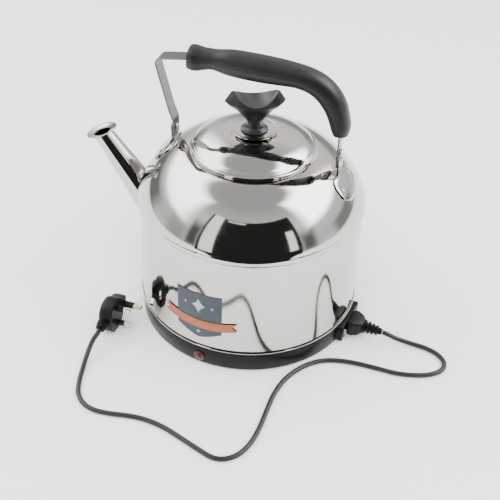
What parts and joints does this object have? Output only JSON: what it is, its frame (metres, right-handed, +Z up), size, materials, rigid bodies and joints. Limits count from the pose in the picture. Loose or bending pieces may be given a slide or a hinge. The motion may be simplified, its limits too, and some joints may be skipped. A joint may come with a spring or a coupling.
{
  "type": "electric water kettle",
  "caption": "Large polished-steel electric kettle with a domed shoulder, conical spout, folding bail handle, lift-off lid with a winged knob, black base and a plug-in power lead.",
  "frame": {"origin": "on the floor under the body's axis, where the kettle stands", "axes": "+Z up along the body's axis; -X towards the spout, with the handle's hinge along X; +Y completes the right-handed frame, so the badge and lamp are on the -Y side"},
  "size_m": [0.471, 0.4048, 0.3458],
  "materials": {
    "polished_steel": "mirror-polished stainless steel",
    "plain_steel": "plain stainless steel",
    "pin_brass": "plain brass",
    "grip_black": "satin black phenolic plastic",
    "base_black": "satin black plastic",
    "cord_black": "matt black flexible plastic",
    "foot_rubber": "matt black rubber",
    "lamp_red": "clear red plastic lens",
    "ceramic_white": "off-white plastic",
    "badge_dark": "dark blue-grey print",
    "badge_orange": "orange print"
  },
  "bodies": {
    "vessel": {"wall_shell": "polished_steel", "dome_shell": "polished_steel", "mouth_collar": "polished_steel", "spout_tube": "polished_steel", "spout_lip": "polished_steel", "trim_ring": "polished_steel", "ear_front": "polished_steel", "ear_rear": "polished_steel", "vessel_floor": "plain_steel", "base_cover": "plain_steel", "cover_screw_1": "plain_steel", "cover_screw_2": "plain_steel", "cover_screw_3": "plain_steel", "inlet_pin_live": "plain_steel", "inlet_pin_neutral": "plain_steel", "inlet_pin_earth": "plain_steel", "inlet_screw_1": "plain_steel", "inlet_screw_2": "plain_steel", "heating_coil": "plain_steel", "rivet_front": "plain_steel", "rivet_rear": "plain_steel", "coil_bushing_1": "pin_brass", "coil_bushing_2": "pin_brass", "coil_nut_1": "pin_brass", "coil_nut_2": "pin_brass", "base_skirt": "base_black", "inlet_housing": "base_black", "foot_1": "foot_rubber", "foot_2": "foot_rubber", "foot_3": "foot_rubber", "foot_4": "foot_rubber", "seal_ring": "foot_rubber", "lamp_lens": "lamp_red", "lamp_body": "ceramic_white", "thermostat": "ceramic_white", "wire_live": "ceramic_white", "wire_neutral": "ceramic_white", "wire_link": "ceramic_white", "badge_shield": "badge_dark", "badge_ribbon": "badge_orange"},
    "handle": {"handle_strap": "polished_steel", "grip_upper": "grip_black", "grip_lower": "grip_black", "grip_screw_1": "plain_steel", "grip_screw_2": "plain_steel"},
    "lid": {"lid_dome": "polished_steel", "lid_skirt": "plain_steel", "knob_cup": "polished_steel", "knob": "grip_black", "knob_screw": "plain_steel"},
    "lead": {"connector_body": "cord_black", "connector_relief": "cord_black", "cord": "cord_black", "plug_body": "cord_black", "plug_relief": "cord_black", "pin_live": "pin_brass", "pin_neutral": "pin_brass", "pin_earth": "pin_brass"}
  },
  "joints": [
    {"name": "handle_swing", "type": "hinge", "parent": "vessel", "child": "handle", "pos_m": [0, 0, 0.2375], "axis": [1, 0, 0], "range_deg": [-80, 80]},
    {"name": "lid_lift", "type": "slide", "parent": "vessel", "child": "lid", "axis": [0, 0, 1], "range_m": [0, 0.01]},
    {"name": "lead_pull", "type": "slide", "parent": "vessel", "child": "lead", "axis": [0.9903, -0.1392, 0], "range_m": [0, 0.006]}
  ]
}
